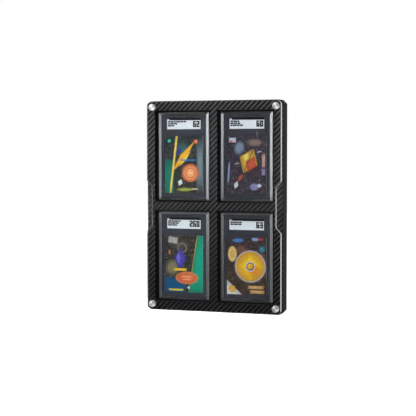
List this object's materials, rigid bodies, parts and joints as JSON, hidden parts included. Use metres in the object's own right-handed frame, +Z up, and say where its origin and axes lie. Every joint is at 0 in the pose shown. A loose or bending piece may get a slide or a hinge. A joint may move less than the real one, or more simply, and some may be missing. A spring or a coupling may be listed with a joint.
{
  "type": "trading card display case",
  "caption": "Flat black display case that holds graded card slabs in foam-lined windows behind a clear magnetic cover with finger notches.",
  "frame": {"origin": "middle of the case's foot, halfway between the cover's front and the tips of the wall bumpers", "axes": "+Z up, +X to the viewer's right, front towards -Y, back and wall towards +Y"},
  "size_m": [0.221, 0.0316, 0.328],
  "materials": {
    "cover_clear": "clear, polished edges",
    "magnet": "spun, nickel plated",
    "face_weave": "twill weave look, satin",
    "body_black": "fine satin",
    "panel_black": "fine grain",
    "screw_steel": "black oxide",
    "bumper_rubber": "soft, matte",
    "liner_foam": "closed-cell foam",
    "slab_clear": "clear, moulded",
    "insert_black": "smooth",
    "label_white": "printed",
    "card_teal": "gloss print",
    "card_violet": "gloss print",
    "card_green": "gloss print",
    "card_gold": "gloss print"
  },
  "bodies": {
    "case": {"face_sheet": "face_weave", "frame_body": "body_black", "frame_magnets": "magnet", "back_panel": "panel_black", "back_screws": "screw_steel", "wall_bumpers": "bumper_rubber", "liner_top_left": "liner_foam", "liner_top_right": "liner_foam", "liner_bottom_left": "liner_foam", "liner_bottom_right": "liner_foam"},
    "cover": {"front_cover": "cover_clear", "cover_magnets": "magnet"},
    "slab_top_left": {"front_shell_top_left": "slab_clear", "back_shell_top_left": "slab_clear", "insert_top_left": "insert_black", "label_top_left": "label_white", "card_top_left": "card_teal"},
    "slab_top_right": {"front_shell_top_right": "slab_clear", "back_shell_top_right": "slab_clear", "insert_top_right": "insert_black", "label_top_right": "label_white", "card_top_right": "card_violet"},
    "slab_bottom_left": {"front_shell_bottom_left": "slab_clear", "back_shell_bottom_left": "slab_clear", "insert_bottom_left": "insert_black", "label_bottom_left": "label_white", "card_bottom_left": "card_green"},
    "slab_bottom_right": {"front_shell_bottom_right": "slab_clear", "back_shell_bottom_right": "slab_clear", "insert_bottom_right": "insert_black", "label_bottom_right": "label_white", "card_bottom_right": "card_gold"}
  },
  "joints": [
    {"name": "cover_lift", "type": "slide", "parent": "case", "child": "cover", "axis": [0, -1, 0], "range_m": [0, 0.16]},
    {"name": "slab_top_left_lift", "type": "slide", "parent": "case", "child": "slab_top_left", "axis": [0, -1, 0], "range_m": [0, 0.064]},
    {"name": "slab_top_right_lift", "type": "slide", "parent": "case", "child": "slab_top_right", "axis": [0, -1, 0], "range_m": [0, 0.064]},
    {"name": "slab_bottom_left_lift", "type": "slide", "parent": "case", "child": "slab_bottom_left", "axis": [0, -1, 0], "range_m": [0, 0.064]},
    {"name": "slab_bottom_right_lift", "type": "slide", "parent": "case", "child": "slab_bottom_right", "axis": [0, -1, 0], "range_m": [0, 0.064]}
  ],
  "couplings": [
    {"joint": "slab_top_left_lift", "follows": "cover_lift", "ratio": 0.4},
    {"joint": "slab_top_right_lift", "follows": "cover_lift", "ratio": 0.4},
    {"joint": "slab_bottom_left_lift", "follows": "cover_lift", "ratio": 0.4},
    {"joint": "slab_bottom_right_lift", "follows": "cover_lift", "ratio": 0.4}
  ]
}
